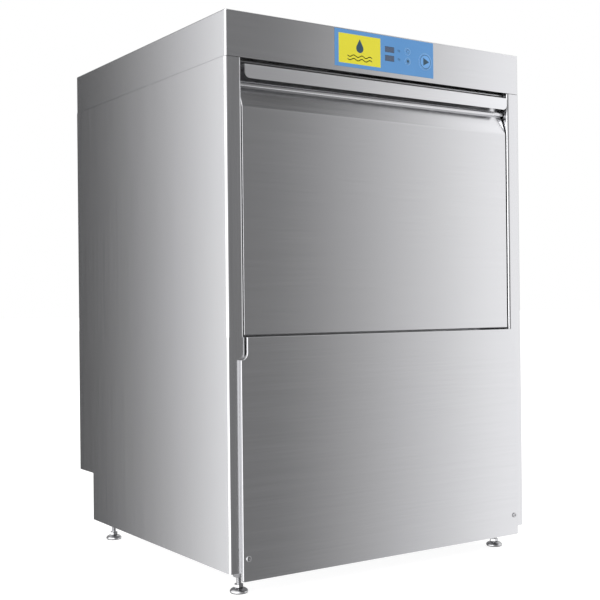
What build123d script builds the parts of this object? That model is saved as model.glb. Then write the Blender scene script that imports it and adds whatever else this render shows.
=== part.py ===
"""Undercounter commercial dishwasher for 500 mm racks: a stainless cabinet on four levelling feet,
a bottom-hinged counterbalanced door, wash and rinse arms above and below the rack, pumps and boiler."""
from build123d import *
import math
import os

os.makedirs("parts", exist_ok=True)

# --- driving dimensions, millimetres. X to the right, Y to the back, Z up from the floor ---
body_width = 600
body_depth = 568
body_height = 832
foot_height = 39
panel_proud = 6.5  # service panel in front of the posts
door_set_back = 3.0  # door behind the posts
screw_head = 2  # screw heads in front of the service panel
sheet = 1.0
tub_sheet = 1.2
lid_height = 69
lid_inset = 1.0
door_width = 540
door_low, door_high = 349.8, 752.5
door_thick = 34
recess_low, recess_crease, recess_depth = 691, 722.5, 11
lip_high, lip_back, lip_shelf = 730.9, 9.8, 18  # rolled lip over the groove, and the hollow over it
plate_low, plate_high, plate_proud = 732.7, 753.3, 3.2
plate_half = 268
panel_half, panel_low, panel_high, panel_step = 281, -13, 347.8, 22.8
post_edge = 272  # inner edge of the front posts, from the middle
post_bend = 4
hinge_back, hinge_up = 15, 362.5  # hinge axis behind the front plane, above the body's underside
opening_half, opening_low, opening_high = 254, 385, 737
frame_back = 42  # front face of the frame round the opening
tub_half = 262
tub_front, tub_back = 43.5, 548
tank_top, ceiling = 330, 745.8
rail_top = 396
foot_in, foot_front, foot_rear = 264, 36.5, 495
notch_deep, notch_high = 64, 86
arm_reach = 238
key_travel = 0.8

# --- derived places ---
half = body_width / 2
proud = panel_proud + screw_head
front = proud - (body_depth + proud) / 2
back = front + body_depth
base = foot_height
lid_low = body_height - lid_height
arm_depth = (tub_front + tub_back) / 2
sump = (-120, front + 250)
pump_axis = (front + 250.75, base + 75)
gap = 0.05  # radial running clearance


def block(x, depth, height, mode=Mode.ADD):
    """A rectangular block: x span, span behind the front plane, span above the body's underside."""
    middle = (sum(x) / 2, front + sum(depth) / 2, base + sum(height) / 2)
    with Locations(middle):
        Box(x[1] - x[0], depth[1] - depth[0], height[1] - height[0], mode=mode)


def rod(axis, centre, span, radius, mode=Mode.ADD):
    """A cylinder along X, Y or Z in floor coordinates: its two other coordinates, then its ends."""
    middle = sum(span) / 2
    place = {"X": (middle, *centre), "Y": (centre[0], middle, centre[1]), "Z": (*centre, middle)}[axis]
    turn = {"X": (0, 90, 0), "Y": (90, 0, 0), "Z": (0, 0, 0)}[axis]
    with Locations(place):
        Cylinder(radius, abs(span[1] - span[0]), rotation=turn, mode=mode)


def bent_sheet(points, radius, thickness, side=Side.LEFT):
    """The closed section of a sheet bent along a polyline."""
    with BuildLine() as path:
        FilletPolyline(*points, radius=radius)
        offset(amount=thickness, side=side)
    return make_face(path.edges())


def pipe_run(points, bend, radius, mode=Mode.ADD):
    """A round section swept along straight runs joined by bends."""
    with BuildLine() as path:
        FilletPolyline(*points, radius=bend)
    with BuildSketch(Plane(origin=path.line @ 0, z_dir=path.line % 0)) as section:
        Circle(radius)
    sweep(section.sketch, path=path.line, mode=mode)


def write(part, name):
    part.label = name
    export_step(part, f"parts/{name}.step")


# --- base frame: tray, front and side upstands, foot bosses ---
tray_low, tray_high = 1.2, 3.2
with BuildPart() as base_frame:
    block((-298, 298), (1.5, 503), (tray_low, tray_high))
    block((-298, 298), (1.5, 3.5), (tray_high, 60))
    for side in (-1, 1):
        block(sorted((side * 296, side * 298)), (1.5, 503), (tray_high, 40))
    for side in (-1, 1):
        for depth in (foot_front, foot_rear):
            with Locations((side * foot_in, front + depth, base + tray_low - 8)):
                Cone(8, 17, 16)
            rod("Z", (side * foot_in, front + depth), (base - 20, base + 20), 4 + gap, Mode.SUBTRACT)
    for side in (-1, 1):
        rod("Y", (side * post_edge, base + 21), (front, front + 5), 2.02, Mode.SUBTRACT)
write(base_frame.part, "base_frame")

# --- side panels: front post, side, rear return, with top and bottom flanges ---
return_low = 348  # the posts' inner edge is turned back from here up
for side, name in ((-1, "side_panel_left"), (1, "side_panel_right")):
    inward = Side.LEFT if side > 0 else Side.RIGHT
    post = [
        (side * post_edge, front),
        (side * half, front),
        (side * half, back),
        (side * (half - 15), back),
    ]
    with BuildPart() as side_panel:
        with BuildSketch(Plane.XY.offset(base)) as lower_outline:
            add(bent_sheet(post, 3, sheet, inward))
        extrude(amount=return_low)
        with BuildSketch(Plane.XY.offset(base + return_low)) as upper_outline:
            add(bent_sheet([(side * post_edge, front + 10), *post], post_bend, sheet, inward))
        extrude(amount=lid_low - 0.8 - return_low)
        flange = sorted((side * 288, side * (half - 0.9)))
        block(flange, (0.9, body_depth - 0.9), (lid_low - 1.8, lid_low - 0.8))
        block(sorted((side * 280, side * (half - 0.9))), (0.9, 503), (0, sheet))
        notch = sorted((side * 200, side * (half + 5)))
        block(notch, (body_depth - notch_deep, body_depth + 5), (-1, notch_high), Mode.SUBTRACT)
        rod("Y", (side * post_edge, base + 21), (front - 1, front + 2), 3.5, Mode.SUBTRACT)
        for depth in (foot_front, foot_rear):
            rod("Z", (side * foot_in, front + depth), (base - 1, base + 2), 17.5, Mode.SUBTRACT)
    write(side_panel.part, name)

# --- rear panel with ventilation slots, and the panel of the connection recess under it ---
valve_x, gland_x, drain_x = 200, 250, -277
connection_height = 45
with BuildPart() as rear_panel:
    block((-297, 297), (565.8, 566.8), (notch_high, lid_low - 2))
    with BuildSketch(Plane.XZ.offset(-(front + 565))) as slots:
        with Locations((0, base + 180)):
            with GridLocations(150, 14, 3, 8):
                SlotOverall(110, 5)
    extrude(amount=-3, mode=Mode.SUBTRACT)
write(rear_panel.part, "rear_panel")

with BuildPart() as connection_panel:
    block((-297.8, 297.8), (503.4, 565.8), (notch_high, notch_high + sheet))
    block((-297.8, 297.8), (503.4, 504.4), (tray_high - 2, notch_high))
    for x, radius in ((valve_x, 13.5), (gland_x, 10.2), (drain_x, 12.1)):
        rod("Y", (x, base + connection_height), (front + 500, front + 506), radius, Mode.SUBTRACT)
write(connection_panel.part, "connection_panel")

# --- top cover with the control fascia ---
fascia = tub_sheet
key_places = {"key_start": (83.5, 796.4, 13), "key_program": (46, 809, 5), "key_power": (46, 793, 5)}
display_x, display_heights = 8.3, (807.9, 793.7)
with BuildPart() as top_cover:
    block((lid_inset - half, half - lid_inset), (0, body_depth), (lid_low, body_height))
    fillet(top_cover.edges().filter_by(Axis.Z), 3)
    fillet(top_cover.faces().sort_by(Axis.Z)[-1].edges(), 2.2)
    inner = half - lid_inset - fascia
    block((-inner, inner), (fascia, body_depth - fascia), (lid_low - 1, body_height - fascia), Mode.SUBTRACT)
    for x, height, radius in key_places.values():
        rod("Y", (x, base + height), (front - 1, front + 2), radius + 0.3, Mode.SUBTRACT)
    for height in display_heights:
        block((display_x - 9.6, display_x + 9.6), (-1, 2), (height - 4.7, height + 4.7), Mode.SUBTRACT)
write(top_cover.part, "top_cover")

with BuildPart() as control_overlay:
    block((-101.3, 101.3), (-0.5, 0), (770.5, 829.5))
    for x, height, radius in key_places.values():
        rod("Y", (x, base + height), (front - 1, front + 2), radius + 0.3, Mode.SUBTRACT)
    for height in display_heights:
        block((display_x - 9.6, display_x + 9.6), (-1, 2), (height - 4.7, height + 4.7), Mode.SUBTRACT)
write(control_overlay.part, "control_overlay")

# --- keys: head, retaining flange behind the fascia, stem to the switch ---
stem_end = 8.9
for name, (x, height, radius) in key_places.items():
    centre = (x, base + height)
    with BuildPart() as key:
        rod("Y", centre, (front - 1.3, front + 1.5), radius)
        rod("Y", centre, (front + 1.5, front + 2.6), radius + 1.2)
        rod("Y", centre, (front + 2.6, front + stem_end), 2)
        fillet(key.edges().filter_by(GeomType.CIRCLE).sort_by(Axis.Y)[0], 0.5)
    write(key.part, name)

with BuildPart() as control_board:
    block((-12, 104), (12, 13.6), (772, 826))
    for x, height, radius in key_places.values():
        block((x - 3, x + 3), (stem_end + key_travel + 0.1, 12), (height - 3, height + 3))
    for height in display_heights:
        block((display_x - 9.3, display_x + 9.3), (-0.2, 12), (height - 4.4, height + 4.4))
    for x in (-8, 100):
        for height in (776, 822):
            rod("Y", (x, base + height), (front + fascia, front + 12), 3)
    block((0, 30), (13.6, 26), (778, 800))
    block((60, 90), (13.6, 30), (778, 812))
write(control_board.part, "control_board")

# --- frame round the opening, with the strip over the door and the lower cross member ---
strip_low = 759.2
with BuildPart() as front_frame:
    block((-297, 297), (frame_back, tub_front), (341.8, 761))
    block(
        (-opening_half, opening_half), (frame_back - 1, tub_front + 1), (opening_low, opening_high), Mode.SUBTRACT
    )
    block((-271, 271), (12, frame_back), (760, 761.2))
    block((-271, 271), (12, 13.2), (strip_low, 760))
    block((-271, 271), (1.6, frame_back), (341.8, 343))
    block((-271, 271), (1.6, 2.8), (315, 341.8))
write(front_frame.part, "front_frame")

# --- lower service panel, a shallow tray with a narrowed top, and its two screws ---
with BuildPart() as lower_front_panel:
    front_face = Plane.XZ.offset(panel_proud - front)
    with BuildSketch(front_face) as outline:
        with BuildLine() as edge:
            low, high = base + panel_low, base + panel_high
            shoulder = high - panel_step
            step = panel_half - door_width / 2
            Line((-panel_half + 2, low), (panel_half - 2, low))
            Line((panel_half - 2, low), (panel_half, low + 2))
            Line((panel_half, low + 2), (panel_half, shoulder - step))
            RadiusArc((panel_half, shoulder - step), (panel_half - step, shoulder), step)
            Line((panel_half - step, shoulder), (panel_half - step, high))
            Line((panel_half - step, high), (step - panel_half, high))
            Line((step - panel_half, high), (step - panel_half, shoulder))
            RadiusArc((step - panel_half, shoulder), (-panel_half, shoulder - step), step)
            Line((-panel_half, shoulder - step), (-panel_half, low + 2))
            Line((-panel_half, low + 2), (-panel_half + 2, low))
        make_face()
    extrude(amount=-(panel_proud - 0.3))
    fillet(lower_front_panel.faces().sort_by(Axis.Y)[0].edges(), 0.8)
    with BuildSketch(front_face.offset(-sheet)) as hollow:
        offset(outline.sketch, amount=-sheet)
    extrude(amount=-panel_proud, mode=Mode.SUBTRACT)
    for side in (-1, 1):
        rod("Y", (side * post_edge, base + 21), (front - 8, front), 2.2, Mode.SUBTRACT)
write(lower_front_panel.part, "lower_front_panel")

with BuildPart() as panel_screws:
    for side in (-1, 1):
        rod("Y", (side * post_edge, base + 21), (front - proud, front - panel_proud), 4.2)
        rod("Y", (side * post_edge, base + 21), (front - panel_proud, front + 12), 2)
    fillet(panel_screws.edges().filter_by(GeomType.CIRCLE).group_by(Axis.Y)[0], 1.2)
    for side in (-1, 1):
        with BuildSketch(Plane.XZ.offset(proud - front)) as socket:
            with Locations((side * post_edge, base + 21)):
                RegularPolygon(1.6, 6)
        extrude(amount=-1.2, mode=Mode.SUBTRACT)
write(panel_screws.part, "panel_screws")

# --- wash tub ---
with BuildPart() as tub_sides:
    for side in (-1, 1):
        block(sorted((side * tub_half, side * (tub_half + tub_sheet))), (tub_front, tub_back), (tank_top, 747))
write(tub_sides.part, "tub_sides")

with BuildPart() as tub_rear:
    wall = tub_half + tub_sheet
    block((-wall, wall), (tub_back, tub_back + tub_sheet), (tank_top, 747))
write(tub_rear.part, "tub_rear")

arm_centre = (0, front + arm_depth)
with BuildPart() as tub_ceiling:
    block((-tub_half, tub_half), (tub_front, tub_back), (ceiling, 747))
    rod("Z", arm_centre, (base + 740, base + 750), 12.1, Mode.SUBTRACT)
write(tub_ceiling.part, "tub_ceiling")

tank_floor = 225
tank_y = (front + 60 + front + 535) / 2
drain_stub, suction_stub = (-150, sump[1]), (-100, sump[1])
with BuildPart() as tank:
    wall = tub_half + tub_sheet
    block((-wall, wall), (tub_front, tub_back + tub_sheet), (tank_top - tub_sheet, tank_top))
    with BuildSketch(Plane.XY.offset(base + tank_top - tub_sheet)) as mouth:
        with Locations((0, tank_y)):
            RectangleRounded(500, 475, 30)
    extrude(amount=tank_floor - tank_top + tub_sheet, taper=6)
    rod("Z", sump, (base + 195, base + tank_floor + 2), 56)
    with BuildSketch(Plane.XY.offset(base + tank_top + 1)) as cavity:
        with Locations((0, tank_y)):
            RectangleRounded(500 - 2 * tub_sheet, 475 - 2 * tub_sheet, 30 - tub_sheet)
    extrude(amount=tank_floor - tank_top - 1 + tub_sheet, taper=6, mode=Mode.SUBTRACT)
    rod("Z", sump, (base + 195 + tub_sheet, base + tank_floor + 10), 56 - tub_sheet, Mode.SUBTRACT)
    rod("Z", suction_stub, (base + 178, base + 196), 18)
    rod("Z", suction_stub, (base + 170, base + 200), 16, Mode.SUBTRACT)
    rod("Z", drain_stub, (base + 178, base + 196), 12)
    rod("Z", drain_stub, (base + 170, base + 200), 10, Mode.SUBTRACT)
    rod("Z", arm_centre, (base + 210, base + 240), 12.1, Mode.SUBTRACT)
    for x in (170, 200):
        rod("Y", (x, base + 262), (front + 40, front + 90), 4.02, Mode.SUBTRACT)
write(tank.part, "tank")

with BuildPart() as rack_rails:
    for side in (-1, 1):
        block(sorted((side * 234, side * tub_half)), (60, 530), (rail_top - tub_sheet, rail_top))
        web = sorted((side * (tub_half - tub_sheet), side * tub_half))
        block(web, (60, 530), (rail_top - 26, rail_top - tub_sheet))
write(rack_rails.part, "rack_rails")

# --- strainers with rows of slots, and the lift-out basket in the sump ---
basket_radius, handle_half = 50, 47.5
with BuildPart() as tank_strainers:
    for side in (-1, 1):
        block(sorted((side * 0.6, side * 256)), (50, 541), (tank_top, tank_top + tub_sheet))
    rod("Z", arm_centre, (base + 320, base + 340), 24, Mode.SUBTRACT)
    rod("Z", sump, (base + 320, base + 340), basket_radius + 1, Mode.SUBTRACT)
    with BuildSketch(Plane.XY.offset(base + tank_top - 1)) as slots:
        for x, y, columns, rows in ((130, arm_centre[1], 5, 22), (-35, arm_centre[1] + 150, 1, 8)):
            with Locations((x, y)):
                with GridLocations(44, 20, columns, rows):
                    SlotOverall(34, 5)
        for y, rows in ((arm_centre[1] + 150, 8), (arm_centre[1] - 180, 4)):
            with Locations((-145, y)):
                with GridLocations(44, 20, 4, rows):
                    SlotOverall(34, 5)
    extrude(amount=4, mode=Mode.SUBTRACT)
write(tank_strainers.part, "tank_strainers")

with BuildPart() as filter_basket:
    rod("Z", sump, (base + tank_top + tub_sheet + 0.1, base + 333), basket_radius + 8)
    rod("Z", sump, (base + 215, base + 333), basket_radius)
    rod("Z", sump, (base + 216.5, base + 334), basket_radius - 1.5, Mode.SUBTRACT)
    with Locations((sump[0], sump[1], base + 275)):
        with PolarLocations(basket_radius - 1, 16):
            Box(6, 6, 84, mode=Mode.SUBTRACT)
    pipe_run(
        [
            (sump[0] - handle_half, sump[1], base + 329),
            (sump[0] - handle_half, sump[1], base + 342),
            (sump[0] + handle_half, sump[1], base + 342),
            (sump[0] + handle_half, sump[1], base + 329),
        ],
        8,
        2.4,
    )
write(filter_basket.part, "filter_basket")

# --- spindles and arms: the upper set is the lower one turned over ---
journal, rinse_journal = 12, 8
arm_wall = 1.5


def spindle(seat, up, foot):
    """A hollow stepped post: seat is the height of its flange's face, up is +1 or -1."""
    for span, radius in (
        ((foot, 345), journal),
        ((331.5, 334), 22),
        ((339, 346), 17),
        ((345, 368.4), journal),
        ((368.4, 384), rinse_journal),
        ((384, 390), 14),
    ):
        rod("Z", arm_centre, sorted(seat + up * (z - 331.2) for z in span), radius)
    inside = sorted(seat + up * (z - 331.2) for z in (foot - 1, 382))
    rod("Z", arm_centre, inside, rinse_journal - 3, Mode.SUBTRACT)


def arm(seat, up, low, high, bore, hub, reach, width, turn, jet_radius):
    """A spray arm: a hub with two tapered wings closed at their ends, with jets along the top."""
    heights = sorted(seat + up * (z - 331.2) for z in (low, high))
    middle = sum(heights) / 2
    wing = (heights[1] - heights[0]) * 0.62
    jet_side = heights[1] if up > 0 else heights[0]
    with BuildPart() as made:
        plan_plane = Plane(origin=(*arm_centre, middle - wing / 2)).rotated((0, 0, turn))
        with BuildSketch(plan_plane) as plan:
            with BuildLine():
                Polyline(
                    (-reach, -width * 0.3), (0, -width / 2), (reach, -width * 0.3),
                    (reach, width * 0.3), (0, width / 2), (-reach, width * 0.3), close=True,
                )
            make_face()
            fillet(plan.vertices(), 3)
        extrude(amount=wing)
        fillet(made.faces().filter_by(Axis.Z).edges(), min(2.5, wing / 4))
        with BuildSketch(plan_plane.offset(arm_wall)) as hollow:
            offset(plan.sketch.moved(Location((0, 0, arm_wall))), amount=-arm_wall)
        extrude(amount=wing - 2 * arm_wall, mode=Mode.SUBTRACT)
        rod("Z", arm_centre, heights, hub)
        rod("Z", arm_centre, (heights[0] - 1, heights[1] + 1), bore + gap, Mode.SUBTRACT)
        for side in (-1, 1):
            for step in range(1, 7):
                distance = side * reach * (0.12 + 0.14 * step)
                x = distance * math.cos(math.radians(turn))
                y = distance * math.sin(math.radians(turn))
                top = middle + up * wing / 2
                place = (arm_centre[0] + x, arm_centre[1] + y)
                rod("Z", place, (top - 2.5, top + 2.5), jet_radius, Mode.SUBTRACT)
    return made.part


lower_seat, upper_seat = base + 331.2, base + ceiling - 0.3
for seat, up, foot, name in ((lower_seat, 1, 224, "lower"), (upper_seat, -1, 329, "upper")):
    with BuildPart() as post:
        spindle(seat, up, foot)
    write(post.part, f"spindle_{name}")
    wash_arm = arm(seat, up, 346.4, 368, journal, 21, arm_reach, 38, 28 * up, 3)
    write(wash_arm, f"wash_arm_{name}")
    rinse_arm = arm(seat, up, 370, 383.6, rinse_journal, 14, arm_reach - 6, 20, -40 * up, 1.5)
    write(rinse_arm, f"rinse_arm_{name}")

# --- wash pump: volute, motor housing, rotor with impeller and fan ---
with BuildPart() as wash_pump_body:
    rod("X", pump_axis, (-20, 20), 60)
    rod("X", pump_axis, (-50, -20), 18)
    rod("Z", arm_centre, (base + 75, base + 132), 14)
    rod("X", pump_axis, (-14, 14), 52, Mode.SUBTRACT)
    rod("X", pump_axis, (-51, -13), 15, Mode.SUBTRACT)
    rod("Z", arm_centre, (base + 75, base + 133), 11.5, Mode.SUBTRACT)
    rod("X", pump_axis, (13, 21), 6.05, Mode.SUBTRACT)
write(wash_pump_body.part, "wash_pump_body")

with BuildPart() as wash_pump_motor:
    rod("X", pump_axis, (20, 175), 58)
    block((40, 150), (215, 287), (tray_high, 40))
    rod("X", pump_axis, (24, 171), 50, Mode.SUBTRACT)
    rod("X", pump_axis, (50, 125), 50.5)
    rod("X", pump_axis, (49, 126), 34, Mode.SUBTRACT)
    rod("X", pump_axis, (19, 25), 6.05, Mode.SUBTRACT)
write(wash_pump_motor.part, "wash_pump_motor")

with BuildPart() as wash_pump_rotor:
    rod("X", pump_axis, (-9, 165), 6)
    rod("X", pump_axis, (-9, -6), 40)
    rod("X", pump_axis, (6, 9), 24)
    rod("X", pump_axis, (55, 120), 33.4)
    rod("X", pump_axis, (150, 153), 20)
    vane_plane = Plane(origin=(0, *pump_axis), z_dir=(1, 0, 0))
    with BuildSketch(vane_plane.offset(-6.5)) as vanes:
        with PolarLocations(22, 6):
            Rectangle(34, 3)
    extrude(amount=13)
    with BuildSketch(vane_plane.offset(152)) as blades:
        with PolarLocations(24, 8):
            Rectangle(38, 2)
    extrude(amount=10)
write(wash_pump_rotor.part, "wash_pump_rotor")

suction_path = [
    (suction_stub[0], suction_stub[1], base + 178),
    (suction_stub[0], suction_stub[1], base + 75),
    (-50, suction_stub[1], base + 75),
]
with BuildPart() as suction_hose:
    pipe_run(suction_path, 40, 18)
    pipe_run(suction_path, 40, 15, Mode.SUBTRACT)
write(suction_hose.part, "suction_hose")

# --- pressure pipe: up to the lower spindle, and up the side and over the ceiling to the upper one ---
riser_x, branch, over = 275.6, base + 150, base + 765
riser = [
    (0, arm_centre[1], branch),
    (riser_x, arm_centre[1], branch),
    (riser_x, arm_centre[1], over),
    (0, arm_centre[1], over),
    (0, arm_centre[1], base + 748),
]
with BuildPart() as wash_riser:
    rod("Z", arm_centre, (base + 132, base + 223.9), 14)
    pipe_run(riser, 15, 11.5)
    rod("Z", arm_centre, (base + 131, base + 225), 11.5, Mode.SUBTRACT)
    pipe_run(riser, 15, 9.5, Mode.SUBTRACT)
write(wash_riser.part, "wash_riser")

# --- boiler with its heating element, and the tank's element ---
boiler_axis = (front + 420, base + 90)
with BuildPart() as boiler:
    rod("X", boiler_axis, (-260, -62), 72)
    rod("X", boiler_axis, (-258.5, -63.5), 70.5, Mode.SUBTRACT)
    rod("X", boiler_axis, (-64, -50), 24)
    rod("X", boiler_axis, (-70, -49), 20, Mode.SUBTRACT)
    for x in (-240, -82):
        block((x - 10, x + 10), (370, 470), (tray_high, 38))
    rod("X", boiler_axis, (-258.5, -63.5), 70.6, Mode.SUBTRACT)
write(boiler.part, "boiler")

with BuildPart() as boiler_element:
    rod("X", boiler_axis, (-50, -38), 26)
    rod("X", boiler_axis, (-66, -50), 19.8)
    for y in (-9, 9):
        rod("X", (boiler_axis[0] + y, boiler_axis[1] + 4), (-38, -26), 3)
    loop = [
        (-64, boiler_axis[0] - 12, boiler_axis[1]),
        (-235, boiler_axis[0] - 12, boiler_axis[1]),
        (-235, boiler_axis[0] + 12, boiler_axis[1]),
        (-64, boiler_axis[0] + 12, boiler_axis[1]),
    ]
    pipe_run(loop, 11, 4)
write(boiler_element.part, "boiler_element")

element_height = base + 262
with BuildPart() as tank_element:
    loop = [
        (170, front + 52, element_height),
        (170, front + 440, element_height),
        (200, front + 440, element_height),
        (200, front + 52, element_height),
    ]
    pipe_run(loop, 14, 4)
    block((150, 220), (51, 54), (252, 272))
write(tank_element.part, "tank_element")

# --- drain pump and hose ---
drain_axis = (-150, base + 45)
with BuildPart() as drain_pump_body:
    rod("Y", drain_axis, (front + 235, front + 265), 36)
    rod("Z", drain_stub, (base + 70, base + 178), 12)
    rod("X", (sump[1], base + 45), (-200, -150), 10)
    rod("Y", drain_axis, (front + 160, front + 235), 30)
    block((-170, -130), (165, 260), (tray_high, 14))
    rod("Y", drain_axis, (front + 238, front + 262), 32, Mode.SUBTRACT)
    rod("Z", drain_stub, (base + 60, base + 179), 10, Mode.SUBTRACT)
    rod("X", (sump[1], base + 45), (-201, -170), 8, Mode.SUBTRACT)
    rod("Y", drain_axis, (front + 164, front + 232), 24, Mode.SUBTRACT)
    rod("Y", drain_axis, (front + 230, front + 240), 3.05, Mode.SUBTRACT)
write(drain_pump_body.part, "drain_pump_body")

with BuildPart() as drain_pump_rotor:
    rod("Y", drain_axis, (front + 170, front + 256), 3)
    rod("Y", drain_axis, (front + 174, front + 226), 22)
    with BuildSketch(Plane(origin=(drain_axis[0], front + 242, drain_axis[1]), z_dir=(0, 1, 0))) as vanes:
        with PolarLocations(13, 4):
            Rectangle(24, 3)
    extrude(amount=14)
write(drain_pump_rotor.part, "drain_pump_rotor")

drain_path = [
    (-200, sump[1], base + 45),
    (drain_x, sump[1], base + 45),
    (drain_x, front + 520, base + connection_height),
]
with BuildPart() as drain_hose:
    pipe_run(drain_path, 40, 12)
    pipe_run(drain_path, 40, 9, Mode.SUBTRACT)
write(drain_hose.part, "drain_hose")

# --- water inlet valve and cable gland ---
with BuildPart() as inlet_valve:
    centre = (valve_x, base + connection_height)
    rod("Y", centre, (front + 470, front + 503.4), 17)
    rod("Y", centre, (front + 503.4, front + 504.4), 13.4)
    rod("Y", centre, (front + 504.4, front + 519), 13.2)
    rod("Z", (valve_x, front + 485), (base + connection_height, base + 96), 14)
    block((valve_x - 14, valve_x + 14), (452, 470), (connection_height - 14, connection_height + 14))
    rod("Y", centre, (front + 495, front + 520), 9, Mode.SUBTRACT)
write(inlet_valve.part, "inlet_valve")

with BuildPart() as cable_gland:
    centre = (gland_x, base + connection_height)
    with BuildSketch(Plane.XZ.offset(-(front + 504.4))) as nut:
        with Locations(centre):
            RegularPolygon(14, 6)
    extrude(amount=-9)
    rod("Y", centre, (front + 513.4, front + 524), 11)
    rod("Y", centre, (front + 490, front + 504.4), 10)
    rod("Y", centre, (front + 489, front + 525), 5.5, Mode.SUBTRACT)
    fillet(cable_gland.edges().filter_by(GeomType.CIRCLE).group_by(Axis.Y)[-1], 1.5)
write(cable_gland.part, "cable_gland")

# --- dosing pumps: housings with round heads, and one roller rotor in each ---
dosing_x = {"detergent_rotor": -235, "rinse_aid_rotor": -150}
with BuildPart() as dosing_pumps:
    for x in dosing_x.values():
        block((x - 32, x + 32), (62, 110), (tray_high, 90))
        rod("Y", (x, base + 52), (front + 30, front + 62), 29)
        rod("Y", (x, base + 52), (front + 33, front + 58), 26, Mode.SUBTRACT)
        rod("Y", (x, base + 52), (front + 57, front + 100), 3.05, Mode.SUBTRACT)
        for offset_x in (-14, 14):
            rod("Z", (x + offset_x, front + 45), (base + 76, base + 104), 4)
write(dosing_pumps.part, "dosing_pumps")

for name, x in dosing_x.items():
    with BuildPart() as roller:
        rod("Y", (x, base + 52), (front + 36, front + 98), 3)
        with BuildSketch(Plane.XZ.offset(-(front + 38))) as cage:
            with Locations((x, base + 52)):
                with PolarLocations(9, 3):
                    Rectangle(18, 9)
                with PolarLocations(18, 3):
                    Circle(6)
        extrude(amount=-17)
    write(roller.part, name)

with BuildPart() as electrics_box:
    block((85, 245), (20, 150), (tray_high, 190))
    block((87, 243), (22, 148), (tray_high + 2, 188), Mode.SUBTRACT)
    block((100, 230), (120, 148.5), (30, 60))
    for x in (100, 145, 190):
        block((x, x + 36), (70, 148.5), (90, 150))
write(electrics_box.part, "electrics_box")

# --- door: outer skin with the finger groove, inner liner, handle plate ---
side_plane = Plane(origin=(0, front, base), x_dir=(0, 1, 0), z_dir=(1, 0, 0))
groove = door_set_back + recess_depth
with BuildSketch(side_plane) as door_side:
    with BuildLine():
        Polyline(
            (door_set_back, door_low),
            (door_set_back, recess_low),
            (groove, recess_crease),
            (lip_back, recess_crease),
            (lip_back, lip_high),
            (lip_shelf, lip_high),
            (lip_shelf, door_high),
            (door_thick, door_high),
            (door_thick, door_low),
            close=True,
        )
    make_face()
    corner_heights = ((door_low, 2.2), (recess_low, 10), (recess_crease, 4), (lip_high, 4))
    for height, radius in corner_heights:
        level = door_side.vertices().filter_by_position(Axis.Y, height - 1, height + 1)
        fillet(level.sort_by(Axis.X)[0], radius)
with BuildSketch(side_plane) as door_hollow:
    offset(door_side.sketch_local, amount=-sheet, kind=Kind.INTERSECTION)
    with Locations((door_thick, (door_low + door_high) / 2)):
        Rectangle(6, door_high - door_low - 2 * sheet)

with BuildPart() as door_skin:
    extrude(door_side.sketch, amount=door_width / 2, both=True)
    extrude(door_hollow.sketch, amount=door_width / 2 - sheet, both=True, mode=Mode.SUBTRACT)
    for side in (-1, 1):
        rod("X", (front + hinge_back, base + hinge_up), (side * 268, side * 272), 4.6, Mode.SUBTRACT)
    door_face = door_skin.faces().filter_by(Axis.Y).sort_by(Axis.Y)[0]
    fillet(door_face.edges().filter_by(Axis.Z), 1.2)
write(door_skin.part, "door_skin")

with BuildPart() as door_liner:
    block((-269.5, 269.5), (door_thick, door_thick + 1.2), (351, 752))
    block((-242, 242), (door_thick, door_thick + 5.2), (395, 725))
    fillet(door_liner.edges().filter_by(Axis.Y).group_by(Axis.Y)[-1], 12)
    block((-240.8, 240.8), (door_thick - 1, door_thick + 4), (396.2, 723.8), Mode.SUBTRACT)
write(door_liner.part, "door_liner")

with BuildPart() as handle_plate:
    block((-plate_half, plate_half), (-plate_proud, sheet - plate_proud), (plate_low, plate_high))
    fillet(handle_plate.edges().filter_by(Axis.Y).group_by(Axis.Z)[0], 9)
    block((-plate_half, plate_half), (sheet - plate_proud, 22), (door_high, plate_high))
    fillet(handle_plate.edges().filter_by(Axis.X).group_by(Axis.Y)[0].group_by(Axis.Z)[-1], 0.9)
write(handle_plate.part, "handle_plate")

with BuildPart() as hinge_arms:
    for side in (-1, 1):
        block(sorted((side * 264, side * 269)), (door_set_back + sheet, door_thick), (352.8, 440))
        rod("X", (front + hinge_back, base + hinge_up), (side * 260, side * 270), 4 + gap, Mode.SUBTRACT)
write(hinge_arms.part, "hinge_arms")

with BuildPart() as hinge_brackets:
    for side in (-1, 1):
        block(sorted((side * 275, side * 278)), (2, frame_back), (350, 395))
        block(sorted((side * 278, side * 293)), (frame_back - 3, frame_back), (350, 395))
        rod("X", (front + hinge_back, base + hinge_up), (side * 270, side * 280), 4.01, Mode.SUBTRACT)
write(hinge_brackets.part, "hinge_brackets")

with BuildPart() as hinge_pins:
    for side in (-1, 1):
        rod("X", (front + hinge_back, base + hinge_up), (side * 215, side * 278), 4)
        rod("X", (front + hinge_back, base + hinge_up), (side * 278, side * 282), 4.2)
write(hinge_pins.part, "hinge_pins")

with BuildPart() as door_springs:
    for side in (-1, 1):
        rod("X", (front + hinge_back, base + hinge_up), (side * 218, side * 262), 10)
        rod("X", (front + hinge_back, base + hinge_up), (side * 217, side * 263), 7.6, Mode.SUBTRACT)
write(door_springs.part, "door_springs")

with BuildPart() as door_gasket:
    block((-264, 264), (door_thick + 1.6, frame_back), (375, 747))
    block((-opening_half, opening_half), (door_thick, frame_back + 1), (opening_low, opening_high), Mode.SUBTRACT)
write(door_gasket.part, "door_gasket")

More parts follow.
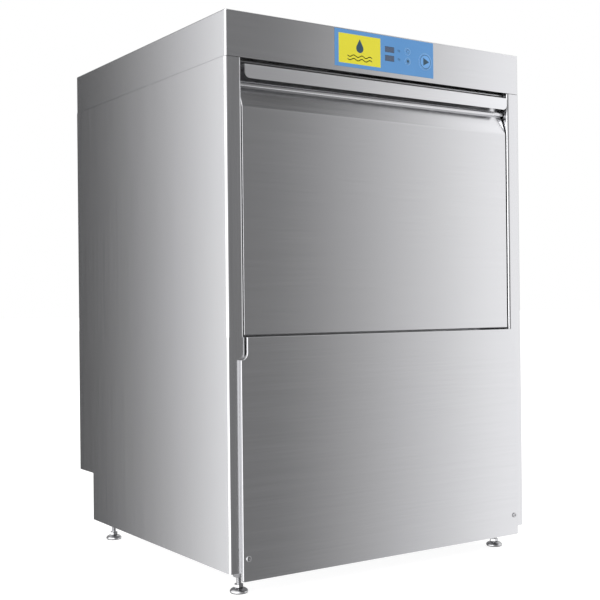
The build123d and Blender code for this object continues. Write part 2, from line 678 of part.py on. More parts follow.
# --- levelling feet: a round pad that stands still, and a threaded spindle that turns in it ---
corners = {
    "front_left": (-foot_in, front + foot_front),
    "front_right": (foot_in, front + foot_front),
    "rear_left": (-foot_in, front + foot_rear),
    "rear_right": (foot_in, front + foot_rear),
}
for name, centre in corners.items():
    with BuildPart() as foot_pad:
        with BuildSketch(Plane(origin=(*centre, 0), x_dir=(1, 0, 0), z_dir=(0, -1, 0))) as half_section:
            with BuildLine():
                Line((0, 0), (13, 0))
                Line((13, 0), (14, 1))
                Line((14, 1), (14, 3.5))
                ThreePointArc((14, 3.5), (11.5, 6.8), (7, 8))
                Line((7, 8), (0, 8))
                Line((0, 8), (0, 0))
            make_face()
        revolve(axis=Axis((*centre, 0), (0, 0, 1)))
        rod("Z", centre, (2.5, 9), 3 + gap, Mode.SUBTRACT)
    write(foot_pad.part, f"foot_pad_{name}")
    with BuildPart() as foot_spindle:
        rod("Z", centre, (2.6, 8.3), 3)
        with BuildSketch(Plane.XY.offset(8.3)) as flats:
            with Locations(centre):
                RegularPolygon(7.5, 6)
        extrude(amount=5)
        rod("Z", centre, (13.3, base + 28), 4)
    write(foot_spindle.part, f"foot_spindle_{name}")
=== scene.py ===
"""Looks of the undercounter dishwasher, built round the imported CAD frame. Metres; -Y is the front, +Z up."""
import math

import bmesh
import bpy
from mathutils import Matrix, Vector


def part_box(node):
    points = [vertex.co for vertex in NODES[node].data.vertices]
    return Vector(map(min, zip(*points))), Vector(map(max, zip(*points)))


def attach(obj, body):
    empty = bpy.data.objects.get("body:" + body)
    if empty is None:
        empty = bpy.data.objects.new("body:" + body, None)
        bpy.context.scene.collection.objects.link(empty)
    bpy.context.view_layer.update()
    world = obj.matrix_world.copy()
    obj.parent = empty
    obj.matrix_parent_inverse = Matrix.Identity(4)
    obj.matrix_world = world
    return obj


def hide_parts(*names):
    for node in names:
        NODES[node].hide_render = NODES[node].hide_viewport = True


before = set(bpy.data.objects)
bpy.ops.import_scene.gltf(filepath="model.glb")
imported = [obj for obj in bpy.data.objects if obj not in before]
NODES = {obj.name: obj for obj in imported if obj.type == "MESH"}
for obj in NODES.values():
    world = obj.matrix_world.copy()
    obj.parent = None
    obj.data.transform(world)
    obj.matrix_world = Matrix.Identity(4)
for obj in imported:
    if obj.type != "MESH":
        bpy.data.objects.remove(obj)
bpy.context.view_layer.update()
MM = 0.001

# --- places taken from the frame ---
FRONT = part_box("top_cover")[0].y  # plane of the posts and the fascia
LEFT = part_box("side_panel_left")[0].x
FLOOR = 0.0

# --- control overlay: x and height above the floor of the key centres, in millimetres ---
START_AT = (83.5, 835.4)
PROGRAM_AT = (46, 848)
POWER_AT = (46, 832)
FILM_FACE = -0.5  # places of the printed faces in front of the fascia
KEY_FACE = -1.3
DISPLAY_FACE = -0.2

# --- light ---
PEAK = 4.0  # the brightest tone of a card or of the room, against white


# ------------------------------------------------------------------ camera
def add_camera():
    """A level view from the front left, about 1.6 m in front of the machine."""
    yaw, roll = math.radians(33.79), math.radians(-0.6)
    data = bpy.data.cameras.new("camera")
    data.lens, data.sensor_width = 64.5, 36.0
    data.clip_start, data.clip_end = 0.05, 60.0
    camera = bpy.data.objects.new("camera", data)
    bpy.context.scene.collection.objects.link(camera)
    turn = Matrix.Rotation(-yaw, 4, "Z") @ Matrix.Rotation(math.radians(90.1), 4, "X")
    place = Matrix.Translation((-1.088, FRONT - 1.3692, 0.4383))
    camera.matrix_world = place @ turn @ Matrix.Rotation(roll, 4, "Z")
    bpy.context.scene.camera = camera


# ------------------------------------------------------------------ node helpers
def new_material(name):
    material = bpy.data.materials.new(name)
    material.use_nodes = True
    tree = material.node_tree
    shader = tree.nodes["Principled BSDF"]
    return material, tree, shader


def node(tree, kind, inputs=None, **settings):
    """A node with its plain settings and its inputs, each a value or another node's output."""
    made = tree.nodes.new(kind)
    for key, value in settings.items():
        setattr(made, key, value)
    for key, value in (inputs or {}).items():
        if isinstance(value, bpy.types.NodeSocket):
            tree.links.new(value, made.inputs[key])
        else:
            made.inputs[key].default_value = value
    return made


def object_space(tree, scale=(1, 1, 1), turn=(0, 0, 0)):
    """Object coordinates, which are the model's own metres, scaled and turned."""
    where = node(tree, "ShaderNodeTexCoord")
    placed = {"Vector": where.outputs["Object"], "Scale": scale, "Rotation": turn}
    return node(tree, "ShaderNodeMapping", placed).outputs[0]


def noise(tree, vector, scale, detail=2.0, roughness=0.5):
    settings = {"Vector": vector, "Scale": scale, "Detail": detail, "Roughness": roughness}
    return node(tree, "ShaderNodeTexNoise", settings).outputs["Fac"]


def remap(tree, value, low, high, to_low, to_high):
    made = node(tree, "ShaderNodeMapRange", {"Value": value, "From Min": low, "From Max": high})
    made.inputs["To Min"].default_value, made.inputs["To Max"].default_value = to_low, to_high
    return made.outputs[0]


def mix_colour(tree, factor, first, second, blend="MIX"):
    made = node(tree, "ShaderNodeMix", {0: factor}, data_type="RGBA", blend_type=blend)
    for index, value in ((6, first), (7, second)):
        if isinstance(value, bpy.types.NodeSocket):
            tree.links.new(value, made.inputs[index])
        else:
            made.inputs[index].default_value = (*value, 1)
    return made.outputs[2]


# ------------------------------------------------------------------ materials
def brushed_steel(name, grain, tone=0.60, rough=0.20, strength=0.022):
    """Stainless sheet with hairlines along one axis: grain is 0, 1 or 2 for X, Y or Z."""
    material, tree, shader = new_material(name)
    stretch = [900.0, 900.0, 900.0]
    stretch[grain] = 9.0
    lines = noise(tree, object_space(tree, stretch), 1.0, 3.0, 0.6)
    broad = noise(tree, object_space(tree, (3, 3, 3)), 1.0, 2.0)
    smear = [160.0, 160.0, 160.0]
    smear[grain] = 3.0
    bands = noise(tree, object_space(tree, smear), 1.0, 2.0)
    level = remap(tree, lines, 0.25, 0.75, tone * 0.975, tone * 1.025)
    colour = node(tree, "ShaderNodeCombineColor", {"Red": level, "Green": level, "Blue": level}).outputs[0]
    tint = mix_colour(tree, remap(tree, broad, 0.3, 0.7, 0.0, 1.0), (1.0, 1.0, 1.012), (0.992, 0.994, 1.016))
    tree.links.new(mix_colour(tree, 1.0, colour, tint, "MULTIPLY"), shader.inputs["Base Color"])
    mixed = node(tree, "ShaderNodeMath", {0: lines, 1: bands}, operation="ADD").outputs[0]
    tree.links.new(remap(tree, mixed, 0.6, 1.4, rough - 0.03, rough + 0.04), shader.inputs["Roughness"])
    bump = node(tree, "ShaderNodeBump", {"Height": lines, "Strength": strength, "Distance": 0.0001})
    tree.links.new(bump.outputs[0], shader.inputs["Normal"])
    shader.inputs["Metallic"].default_value = 1.0
    return material


def moulded(name, colour, rough=0.45, grain=900.0, strength=0.08, coat=0.0, variation=0.06):
    """Moulded plastic or rubber with a fine spark texture and slight tone changes."""
    material, tree, shader = new_material(name)
    fine = noise(tree, object_space(tree), grain, 2.0)
    broad = noise(tree, object_space(tree), 14.0, 3.0)
    darker = tuple(c * (1 - variation) for c in colour)
    lighter = tuple(min(1.0, c * (1 + variation) + 0.002) for c in colour)
    tint = mix_colour(tree, remap(tree, broad, 0.3, 0.7, 0.0, 1.0), darker, lighter)
    tree.links.new(tint, shader.inputs["Base Color"])
    tree.links.new(remap(tree, broad, 0.3, 0.7, rough - 0.05, rough + 0.05), shader.inputs["Roughness"])
    bump = node(tree, "ShaderNodeBump", {"Height": fine, "Strength": strength, "Distance": 0.0002})
    tree.links.new(bump.outputs[0], shader.inputs["Normal"])
    shader.inputs["Coat Weight"].default_value = coat
    return material


def plated(name, tone, rough=0.2):
    """Turned or plated steel with faint concentric tool marks along Z."""
    material, tree, shader = new_material(name)
    rings = noise(tree, object_space(tree, (20, 20, 2600)), 1.0, 2.0)
    soft = noise(tree, object_space(tree), 60.0, 3.0)
    colour = mix_colour(tree, soft, tuple(c * 0.9 for c in tone), tone)
    tree.links.new(colour, shader.inputs["Base Color"])
    tree.links.new(remap(tree, soft, 0.3, 0.7, rough - 0.04, rough + 0.08), shader.inputs["Roughness"])
    bump = node(tree, "ShaderNodeBump", {"Height": rings, "Strength": 0.12, "Distance": 0.0001})
    tree.links.new(bump.outputs[0], shader.inputs["Normal"])
    shader.inputs["Metallic"].default_value = 1.0
    return material


def paint_nodes(material, names):
    for name in names:
        slots = NODES[name].data.materials
        slots.clear()
        slots.append(material)


def finish_cad_nodes():
    """Every CAD node that stays gets a procedural material."""
    flat = brushed_steel("steel_front", 0)
    side = brushed_steel("steel_side", 2)
    deep = brushed_steel("steel_inside", 1, tone=0.62, rough=0.34)
    paint_nodes(flat, ["door_skin", "door_liner", "lower_front_panel", "front_frame", "top_cover"])
    paint_nodes(brushed_steel("steel_plate", 0, tone=0.74, rough=0.32), ["handle_plate"])
    paint_nodes(side, ["side_panel_left", "side_panel_right", "rear_panel", "connection_panel", "tub_rear"])
    paint_nodes(deep, ["tub_sides", "tub_ceiling", "tank", "rack_rails", "tank_strainers"])
    paint_nodes(deep, ["filter_basket", "boiler", "wash_riser"])
    arms = ["wash_arm_lower", "wash_arm_upper", "rinse_arm_lower", "rinse_arm_upper"]
    arm_steel = plated("arm_steel", (0.60, 0.60, 0.60), 0.26)
    paint_nodes(arm_steel, arms + ["spindle_lower", "spindle_upper"])
    add_jets(arm_steel)
    frame_steel = plated("frame_steel", (0.30, 0.30, 0.31), 0.38)
    paint_nodes(frame_steel, ["base_frame", "hinge_arms", "hinge_brackets"])
    bright = plated("bright_steel", (0.52, 0.52, 0.53), 0.14)
    paint_nodes(bright, ["panel_screws", "hinge_pins"])
    add_springs(plated("spring_steel", (0.35, 0.35, 0.36), 0.35))
    paint_nodes(plated("element_steel", (0.4, 0.38, 0.37), 0.4), ["boiler_element", "tank_element"])
    rubber = moulded("seal_rubber", (0.045, 0.045, 0.047), 0.6)
    add_feet(bright, rubber)
    add_gasket(rubber)
    paint_nodes(moulded("hose_rubber", (0.04, 0.04, 0.042), 0.5), ["suction_hose", "drain_hose"])
    pumps = ["wash_pump_body", "drain_pump_body", "dosing_pumps", "wash_pump_rotor", "drain_pump_rotor"]
    pumps += ["detergent_rotor", "rinse_aid_rotor"]
    paint_nodes(moulded("pump_moulding", (0.05, 0.05, 0.055), 0.5), pumps)
    valve_moulding = moulded("valve_moulding", (0.75, 0.75, 0.72), 0.4)
    paint_nodes(valve_moulding, ["inlet_valve", "electrics_box"])
    add_valve_thread(valve_moulding)
    paint_nodes(moulded("motor_paint", (0.09, 0.10, 0.11), 0.4), ["wash_pump_motor"])
    paint_nodes(moulded("gland_moulding", (0.12, 0.12, 0.125), 0.45), ["cable_gland"])
    paint_nodes(moulded("board_resist", (0.02, 0.16, 0.07), 0.35), ["control_board"])
    overlay_blue = moulded("overlay_blue", (0.064, 0.21, 0.45), 0.38, strength=0.03, variation=0.02)
    paint_nodes(overlay_blue, ["control_overlay"])
    paint_nodes(moulded("key_blue", (0.10, 0.27, 0.55), 0.35), ["key_start", "key_program", "key_power"])


# ------------------------------------------------------------------ shapes
def mesh_object(name, mesh_data, material, body="cabinet", smooth=False):
    """A piece made from a bmesh, with its material, moving with a CAD body."""
    mesh = bpy.data.meshes.new(name)
    mesh_data.normal_update()
    mesh_data.to_mesh(mesh)
    mesh_data.free()
    for polygon in mesh.polygons:
        polygon.use_smooth = smooth
    mesh.materials.append(material)
    made = bpy.data.objects.new(name, mesh)
    bpy.context.scene.collection.objects.link(made)
    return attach(made, body)


def circle_points(radius, count=48, centre=(0.0, 0.0), start=0.0, sweep=360.0):
    """Points round a circle in millimetres; a full circle leaves out its last point."""
    steps = count if sweep >= 360 else count - 1
    turns = [math.radians(start + sweep * i / steps) for i in range(count)]
    return [(centre[0] + radius * math.cos(t), centre[1] + radius * math.sin(t)) for t in turns]


def printed(name, outlines, depth, material, body="cabinet", thick=0.06):
    """Flat printed shapes on the front: outlines of (x, height above the floor) in millimetres."""
    shape = bmesh.new()
    y = FRONT + depth * MM
    for outline in outlines:
        front = [shape.verts.new((x * MM, y - thick * MM, z * MM)) for x, z in outline]
        rear = [shape.verts.new((x * MM, y, z * MM)) for x, z in outline]
        shape.faces.new(front)
        shape.faces.new(list(reversed(rear)))
        for i in range(len(front)):
            j = (i + 1) % len(front)
            shape.faces.new((front[j], front[i], rear[i], rear[j]))
    bmesh.ops.recalc_face_normals(shape, faces=shape.faces)
    return mesh_object(name, shape, material, body)


def ring_pieces(radius, width, centre, count=48, start=0.0, sweep=360.0):
    """A ring or arc as one quad per step, so that it can be printed."""
    steps = [math.radians(start + sweep * i / count) for i in range(count + 1)]
    outlines = []
    for a, b in zip(steps, steps[1:]):
        corner = []
        for r, t in ((radius, a), (radius, b), (radius - width, b), (radius - width, a)):
            corner.append((centre[0] + r * math.cos(t), centre[1] + r * math.sin(t)))
        outlines.append(corner)
    return outlines


def stroke(points, width):
    """A line of constant width through the points, as one quad per run."""
    outlines = []
    for (x0, z0), (x1, z1) in zip(points, points[1:]):
        length = math.hypot(x1 - x0, z1 - z0)
        ux, uz = (x1 - x0) / length * width / 2, (z1 - z0) / length * width / 2
        outlines.append([(x0 - ux - uz, z0 - uz + ux), (x0 - ux + uz, z0 - uz - ux),
                         (x1 + ux + uz, z1 + uz - ux), (x1 + ux - uz, z1 + uz + ux)])
    return outlines


def bar(x, z):
    """A rectangle from its x and height spans."""
    return [(x[0], z[0]), (x[1], z[0]), (x[1], z[1]), (x[0], z[1])]


# ------------------------------------------------------------------ control overlay
def add_overlay_prints():
    """The printed label, the two dark displays and the marks on and beside the keys."""
    yellow = moulded("label_yellow", (0.56, 0.51, 0.003), 0.45, strength=0.02, variation=0.01)
    ink = moulded("ink_blue", (0.012, 0.05, 0.085), 0.4, strength=0.02)
    dark = moulded("display_glass", (0.035, 0.060, 0.11), 0.12, strength=0.0, coat=0.6, variation=0.02)
    digit = moulded("display_digits", (0.075, 0.10, 0.155), 0.3, strength=0.0)
    pale = moulded("ink_pale", (0.30, 0.52, 0.75), 0.4, strength=0.02)
    printed("label_ground", [bar((-94, -10.6), (815.3, 862.2))], FILM_FACE, yellow)
    # a plain sign for washing: a drop over two waves
    middle_x, middle_z = -52.3, 838.6
    drop = [(middle_x, middle_z + 17.5)]
    drop += circle_points(7.2, 25, (middle_x, middle_z + 2.6), 152, 236)
    printed("label_drop", [drop], FILM_FACE - 0.06, ink)
    waves = []
    for level in (-10.5, -16.0):
        points = [(middle_x + x, middle_z + level + 1.5 * math.sin(x * math.pi / 8)) for x in range(-24, 25)]
        waves += stroke(points, 1.3)
    printed("label_waves", waves, FILM_FACE - 0.06, ink)
    for index, height in enumerate((846.9, 832.7)):
        window = bar((-1.1, 17.7), (height - 4.5, height + 4.5))
        printed(f"display_{index}", [window], DISPLAY_FACE, dark, thick=0.2)
        segments = []
        for x in (2.2, 8.3, 14.4):
            left, right, low, high = x - 1.9, x + 1.9, height - 3.2, height + 3.2
            for z in (low, height, high):
                segments.append(bar((left + 0.3, right - 0.3), (z - 0.3, z + 0.3)))
            for side_x in (left, right):
                segments.append(bar((side_x - 0.3, side_x + 0.3), (low + 0.5, height - 0.5)))
                segments.append(bar((side_x - 0.3, side_x + 0.3), (height + 0.5, high - 0.5)))
        printed(f"display_digits_{index}", segments, DISPLAY_FACE - 0.2, digit, thick=0.03)
        mark = ring_pieces(1.5, 0.6, (26.6, height + 0.6), 20)
        mark.append(bar((28.9, 29.7), (height - 2.2, height + 2.0)))
        printed(f"display_mark_{index}", mark, FILM_FACE, ink)
    printed("start_ring", ring_pieces(11.6, 0.9, START_AT), KEY_FACE, ink, "key_start")
    x, z = START_AT
    triangle = [(x - 4.6, z - 6.6), (x + 7.8, z), (x - 4.6, z + 6.6)]
    printed("start_triangle", [triangle], KEY_FACE, ink, "key_start")
    program = ring_pieces(2.3, 0.5, PROGRAM_AT, 24)
    program += [circle_points(0.75, 12, dot) for dot in circle_points(3.5, 8, PROGRAM_AT)]
    printed("program_ring", program, KEY_FACE, ink, "key_program")
    printed("power_dot", [circle_points(2.5, 32, POWER_AT)], KEY_FACE, ink, "key_power")
    printed("power_ring", ring_pieces(4.1, 0.5, POWER_AT, 32), KEY_FACE, ink, "key_power")
    rims = (("start", START_AT, 13.9), ("program", PROGRAM_AT, 5.9), ("power", POWER_AT, 5.9))
    for name, centre, radius in rims:
        printed(f"rim_{name}", ring_pieces(radius, 0.35, centre), FILM_FACE, pale)


# ------------------------------------------------------------------ turned, threaded and wound pieces
def add_lathe(shape, profile, centre, steps=48):
    """Turns a (radius, height) profile in millimetres round a vertical axis, into the bmesh."""
    rings = []
    for radius, height in profile:
        if radius < 1e-6:
            rings.append([shape.verts.new((centre[0], centre[1], height * MM))])
            continue
        ring = []
        for x, y in circle_points(radius * MM, steps, centre):
            ring.append(shape.verts.new((x, y, height * MM)))
        rings.append(ring)
    for first, second in zip(rings, rings[1:]):
        for i in range(steps):
            j = (i + 1) % steps
            a, b = len(first), len(second)
            corners = list(dict.fromkeys((first[i % a], first[j % a], second[j % b], second[i % b])))
            if len(corners) > 2:
                shape.faces.new(corners)


def add_thread(shape, centre, low, high, radius, pitch, depth, steps=20, rows=6):
    """A screw thread round a vertical axis, fading out at both ends."""
    count = int((high - low) / pitch * rows)
    rings = []
    for row in range(count + 1):
        height = low + (high - low) * row / count
        ring = []
        for i in range(steps):
            phase = (height / pitch - i / steps) % 1.0
            groove = depth * abs(2 * phase - 1)
            fade = min(1.0, (height - low) / pitch, (high - height) / pitch)
            turn = 2 * math.pi * i / steps
            at = (radius - groove * max(0.0, fade)) * MM
            x, y = centre[0] + at * math.cos(turn), centre[1] + at * math.sin(turn)
            ring.append(shape.verts.new((x, y, height * MM)))
        rings.append(ring)
    for first, second in zip(rings, rings[1:]):
        for i in range(steps):
            j = (i + 1) % steps
            shape.faces.new((first[i], first[j], second[j], second[i]))
    shape.faces.new(list(reversed(rings[0])))
    shape.faces.new(rings[-1])


def add_tube(shape, points, radius, sides=10, closed=False):
    """A round wire along points given in metres."""
    rings = []
    count = len(points)
    for index, point in enumerate(points):
        before = points[(index - 1) % count] if closed or index else point
        after = points[(index + 1) % count] if closed or index < count - 1 else point
        along = (Vector(after) - Vector(before)).normalized()
        across = along.cross(Vector((0.123, 0.0, 0.992))).normalized()
        up = across.cross(along)
        ring = []
        for i in range(sides):
            turn = 2 * math.pi * i / sides
            outward = across * math.cos(turn) + up * math.sin(turn)
            ring.append(shape.verts.new(Vector(point) + outward * radius))
        rings.append(ring)
    pairs = list(zip(rings, rings[1:] + rings[:1])) if closed else list(zip(rings, rings[1:]))
    for first, second in pairs:
        for i in range(sides):
            j = (i + 1) % sides
            shape.faces.new((first[i], first[j], second[j], second[i]))
    if not closed:
        shape.faces.new(list(reversed(rings[0])))
        shape.faces.new(rings[-1])


def smooth_by_angle(made, degrees=35):
    """Smooth faces with sharp edges kept where the surface turns by more than the angle."""
    mesh = made.data
    for polygon in mesh.polygons:
        polygon.use_smooth = True
    mesh.set_sharp_from_angle(angle=math.radians(degrees))
    return made


def middle_of(name):
    low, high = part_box(name)
    return (low + high) / 2


def add_feet(chrome, sole):
    """Each foot's pad as a bright dome on a rubber sole, and its spindle with flats and a real thread."""
    for corner in ("front_left", "front_right", "rear_left", "rear_right"):
        pad, spindle = f"foot_pad_{corner}", f"foot_spindle_{corner}"
        middle = middle_of(pad)
        centre = (middle.x, middle.y)
        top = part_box(spindle)[1].z / MM
        shape = bmesh.new()
        dome = [(12.6, 1.6), (13.6, 1.6), (14.0, 2.1), (14.0, 3.3), (13.4, 4.6), (12.0, 5.9)]
        dome += [(10.2, 6.9), (8.0, 7.7), (6.6, 8.0), (4.0, 8.0), (3.1, 7.4)]
        add_lathe(shape, dome, centre, 56)
        made = smooth_by_angle(mesh_object(f"{pad}_dome", shape, chrome, pad))
        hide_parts(pad)
        shape = bmesh.new()
        add_lathe(shape, [(0, 0), (12.6, 0), (13.4, 0.5), (13.4, 1.5), (12.6, 1.7)], centre, 56)
        smooth_by_angle(mesh_object(f"{pad}_sole", shape, sole, pad))
        shape = bmesh.new()
        add_lathe(shape, [(0, 2.6), (2.9, 2.6), (2.9, 8.3), (6.4, 8.3)], centre, 24)
        flats = [(6.4, 8.3), (7.5, 8.9), (7.5, 12.7), (6.4, 13.3), (4.0, 13.3)]
        add_lathe(shape, flats, centre, 6)
        add_thread(shape, centre, 13.3, top, 4.0, 1.25, 0.62)
        made = smooth_by_angle(mesh_object(f"{spindle}_thread", shape, chrome, spindle), 28)
        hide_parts(spindle)


def add_springs(material):
    """The two torsion springs wound round the hinge pins."""
    low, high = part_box("door_springs")
    axis_y, axis_z = (low.y + high.y) / 2, (low.z + high.z) / 2
    shape = bmesh.new()
    inner_end, length, radius, wire = 220.5 * MM, 39 * MM, 8.8 * MM, 1.15 * MM
    turns, steps = 15, 18
    for side in (-1, 1):
        points = []
        for i in range(turns * steps + 1):
            x = side * (inner_end + length * i / (turns * steps))
            turn = 2 * math.pi * i / steps
            points.append((x, axis_y + radius * math.cos(turn), axis_z + radius * math.sin(turn)))
        add_tube(shape, points, wire, 8)
    made = mesh_object("door_springs_wire", shape, material, "door", smooth=True)
    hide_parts("door_springs")


def rounded_loop(x, z, y, radius, steps=8):
    """Points in metres round an upright rectangle with rounded corners."""
    points = []
    corners = ((x[1], z[1], 0), (x[0], z[1], 90), (x[0], z[0], 180), (x[1], z[0], 270))
    for corner_x, corner_z, start in corners:
        inward_x = corner_x - math.copysign(radius, corner_x - sum(x) / 2)
        inward_z = corner_z - math.copysign(radius, corner_z - sum(z) / 2)
        for i in range(steps + 1):
            turn = math.radians(start + 90 * i / steps)
            points.append((inward_x + radius * math.cos(turn), y, inward_z + radius * math.sin(turn)))
    return points


def add_gasket(rubber):
    """The door seal: a flat foot round the opening carrying a hollow bulb and a thinner inner lip."""
    low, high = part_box("door_gasket")
    shape = bmesh.new()
    bulb, lip = 2.9 * MM, 1.3 * MM
    loops = ((4.0 * MM, low.y + bulb, bulb, 10), (7.6 * MM, low.y + 2.6 * MM, lip, 8))
    for inset, y, radius, sides in loops:
        points = rounded_loop((low.x + inset, high.x - inset), (low.z + inset, high.z - inset), y, 14 * MM)
        add_tube(shape, points, radius, sides, closed=True)
    foot_face, width = high.y - 0.8 * MM, 9 * MM
    outer = rounded_loop((low.x, high.x), (low.z, high.z), foot_face, 16 * MM)
    inner_z = (low.z + width, high.z - width)
    inner = rounded_loop((low.x + width, high.x - width), inner_z, foot_face, 8 * MM)
    rings = []
    for points, y in ((outer, high.y), (outer, foot_face), (inner, foot_face), (inner, high.y)):
        rings.append([shape.verts.new((px, y, pz)) for px, _, pz in points])
    for first, second in zip(rings, rings[1:] + rings[:1]):
        for i in range(len(first)):
            j = (i + 1) % len(first)
            shape.faces.new((first[i], first[j], second[j], second[i]))
    bmesh.ops.recalc_face_normals(shape, faces=shape.faces)
    made = smooth_by_angle(mesh_object("door_gasket_bulb", shape, rubber))
    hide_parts("door_gasket")


def add_jets(steel):
    """A pressed rim round every jet of the four spray arms."""
    for level, up in (("lower", 1), ("upper", -1)):
        for kind, reach, turn, radius in (("wash", 238, 28 * up, 3), ("rinse", 232, -40 * up, 1.5)):
            name = f"{kind}_arm_{level}"
            low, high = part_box(name)
            centre = ((low.x + high.x) / 2, (low.y + high.y) / 2)
            thick = (high.z - low.z) / MM
            wing = thick * 0.62
            top = (low.z + high.z) / 2 / MM + up * wing / 2
            shape = bmesh.new()
            for side in (-1, 1):
                for step in range(1, 7):
                    distance = side * reach * (0.12 + 0.14 * step) * MM
                    x = centre[0] + distance * math.cos(math.radians(turn))
                    y = centre[1] + distance * math.sin(math.radians(turn))
                    rim = [(radius, top), (radius + 0.1, top + up * 0.5), (radius + 0.7, top + up * 0.7)]
                    rim += [(radius + 1.5, top + up * 0.3), (radius + 1.8, top)]
                    add_lathe(shape, rim, (x, y), 20)
            bmesh.ops.recalc_face_normals(shape, faces=shape.faces)
            mesh_object(f"{name}_jets", shape, steel, name, smooth=True)


def add_valve_thread(material):
    """The hose thread on the water valve's stub, in the rear recess."""
    low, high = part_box("inlet_valve")
    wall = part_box("connection_panel")[0].y / MM + 1.0
    valve_height = 84 * MM
    shape = bmesh.new()
    add_thread(shape, (0, 0), wall + 1.6, high.y / MM - 0.4, 13.15, 1.8, 1.0, steps=28)
    bmesh.ops.delete(shape, geom=[f for f in shape.faces if len(f.verts) > 4], context="FACES_ONLY")
    bmesh.ops.rotate(shape, verts=shape.verts, matrix=Matrix.Rotation(math.radians(-90), 3, "X"))
    bmesh.ops.translate(shape, verts=shape.verts, vec=((low.x + high.x) / 2, 0, valve_height))
    mesh_object("inlet_valve_thread", shape, material, smooth=True)


# ------------------------------------------------------------------ stage and light
def add_floor():
    """A white floor that carries the machine; the steel doesn't mirror it, the room below stands for it."""
    size = 30.0
    mesh = bpy.data.meshes.new("floor")
    corners = [(-size, -size, FLOOR), (size, -size, FLOOR), (size, size, FLOOR), (-size, size, FLOOR)]
    mesh.from_pydata(corners, [], [(0, 1, 2, 3)])
    floor = bpy.data.objects.new("floor", mesh)
    bpy.context.scene.collection.objects.link(floor)
    material, _, shader = new_material("floor_paint")
    shader.inputs["Base Color"].default_value = (0.35, 0.35, 0.35, 1)
    shader.inputs["Roughness"].default_value = 0.9
    shader.inputs["Emission Color"].default_value = (1, 1, 1, 1)
    shader.inputs["Emission Strength"].default_value = 0.86
    mesh.materials.append(material)
    floor.visible_glossy = False


def add_card(name, axis, place, span, tones, high_contrast=1.0, lean=0.0):
    """A tall glowing card beside the machine, its brightness given along its length as (place, tone).

    axis is 0 for a card that runs along X and 1 for one along Y; the camera doesn't see it. Above the height
    of the fascia the tones slide by lean along the card and are raised to the power high_contrast."""
    mesh = bpy.data.meshes.new(name)
    low, high = -1.6, 2.6
    corners = []
    for along, height in ((span[0], low), (span[1], low), (span[1], high), (span[0], high)):
        corners.append((along, place, height) if axis == 0 else (place, along, height))
    mesh.from_pydata(corners, [], [(0, 1, 2, 3)])
    card = bpy.data.objects.new(name, mesh)
    bpy.context.scene.collection.objects.link(card)
    material = bpy.data.materials.new(name)
    material.use_nodes = True
    tree = material.node_tree
    tree.nodes.clear()
    where = node(tree, "ShaderNodeTexCoord")
    split = node(tree, "ShaderNodeSeparateXYZ", {"Vector": where.outputs["Object"]})
    change_low, change_high = 1.12, 1.35
    away = remap(tree, split.outputs["Z"], change_low, change_high, 0.0, lean)
    place_on = node(tree, "ShaderNodeMath", {0: split.outputs[axis], 1: away}, operation="SUBTRACT")
    along = remap(tree, place_on.outputs[0], span[0], span[1], 0.0, 1.0)
    stops = [((at - span[0]) / (span[1] - span[0]), tone) for at, tone in tones]
    level = tone_ramp(tree, along, stops)
    contrast = remap(tree, split.outputs["Z"], change_low, change_high, 1.0, high_contrast)
    strength = node(tree, "ShaderNodeMath", {0: level, 1: contrast}, operation="POWER")
    light = node(tree, "ShaderNodeEmission", {"Color": (1.0, 1.0, 1.012, 1), "Strength": strength.outputs[0]})
    out = node(tree, "ShaderNodeOutputMaterial")
    tree.links.new(light.outputs[0], out.inputs["Surface"])
    mesh.materials.append(material)
    card.visible_camera = False
    card.visible_diffuse = False
    card.visible_shadow = False


def tone_ramp(tree, value, stops):
    """A grey ramp of (place, tone) stops. A ramp holds tones up to 1, so each is kept as a share of PEAK."""
    ramp = node(tree, "ShaderNodeValToRGB", {"Fac": value})
    ramp.color_ramp.interpolation = "CARDINAL"
    elements = ramp.color_ramp.elements
    while len(elements) > 1:
        elements.remove(elements[-1])
    for index, (place, tone) in enumerate(stops):
        spot = elements[0] if index == 0 else elements.new(min(1.0, max(0.0, place)))
        spot.position = min(1.0, max(0.0, place))
        spot.color = (tone / PEAK, tone / PEAK, tone / PEAK, 1)
    return node(tree, "ShaderNodeMath", {0: ramp.outputs[0], 1: PEAK}, operation="MULTIPLY").outputs[0]


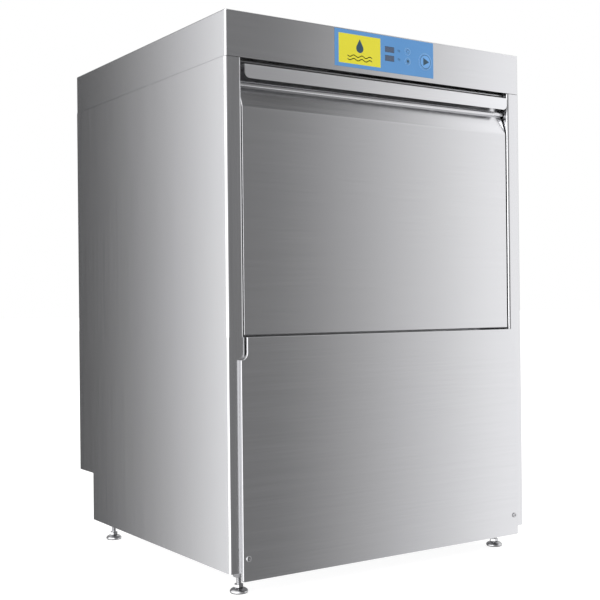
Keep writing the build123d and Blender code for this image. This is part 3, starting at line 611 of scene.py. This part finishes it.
def add_light():
    """A white studio: an even room, and glowing cards near the machine for the steel to mirror."""
    world = bpy.data.worlds.new("studio")
    world.use_nodes = True
    bpy.context.scene.world = world
    tree = world.node_tree
    tree.nodes.clear()
    where = node(tree, "ShaderNodeTexCoord")
    split = node(tree, "ShaderNodeSeparateXYZ", {"Vector": where.outputs["Generated"]})
    angle = node(tree, "ShaderNodeMath", {0: split.outputs["Y"], 1: split.outputs["X"]}, operation="ARCTAN2")
    turn = remap(tree, angle.outputs[0], -math.pi, math.pi, 0.0, 1.0)
    # brightness of the room by compass direction in degrees, anticlockwise from +X
    tones = [(-180, 3.0), (-145, 3.0), (-120, 1.4), (-90, 0.9), (-45, 1.2), (0, 1.0), (45, 0.6), (90, 0.5)]
    tones += [(135, 1.2), (180, 3.0)]
    around = tone_ramp(tree, turn, [((degrees + 180) / 360, tone) for degrees, tone in tones])
    around = node(tree, "ShaderNodeCombineColor", {"Red": around, "Green": around, "Blue": around}).outputs[0]
    height = split.outputs["Z"]
    upper = mix_colour(tree, remap(tree, height, 0.35, 0.85, 0.0, 1.0), around, (1.15, 1.15, 1.15))
    room = mix_colour(tree, remap(tree, height, -0.3, -0.6, 0.0, 1.0), upper, (1.3, 1.3, 1.3))
    lit = node(tree, "ShaderNodeBackground", {"Color": room, "Strength": 1.0})
    white = node(tree, "ShaderNodeBackground", {"Color": (1, 1, 1, 1), "Strength": 1.0})
    seen = node(tree, "ShaderNodeLightPath").outputs["Is Camera Ray"]
    mixed = node(tree, "ShaderNodeMixShader", {0: seen, 1: lit.outputs[0], 2: white.outputs[0]})
    out = node(tree, "ShaderNodeOutputWorld")
    tree.links.new(mixed.outputs[0], out.inputs["Surface"])
    bpy.context.scene.view_settings.view_transform = "Standard"
    front_tones = [(-1.2, 3.2), (-0.75, 2.2), (-0.4, 0.8), (-0.05, 0.30), (0.12, 0.245), (0.21, 0.31)]
    front_tones += [(0.32, 0.46), (0.43, 0.62), (0.55, 0.82), (0.68, 1.02), (0.82, 1.30)]
    front_tones += [(1.2, 1.35), (1.9, 1.2)]
    add_card("card_front", 0, FRONT - 0.6, (-1.2, 1.9), front_tones, 1.5, 0.30)
    left_tones = [(0.3, 2.6), (0.45, 1.5), (0.6, 1.1), (0.85, 0.66), (1.0, 0.44), (1.15, 0.28), (1.35, 0.12),
                  (2.0, 0.07), (3.0, 0.1)]
    add_card("card_left", 1, LEFT - 0.5, (0.3, 3.0), left_tones)


add_camera()
add_floor()
add_light()
finish_cad_nodes()
add_overlay_prints()
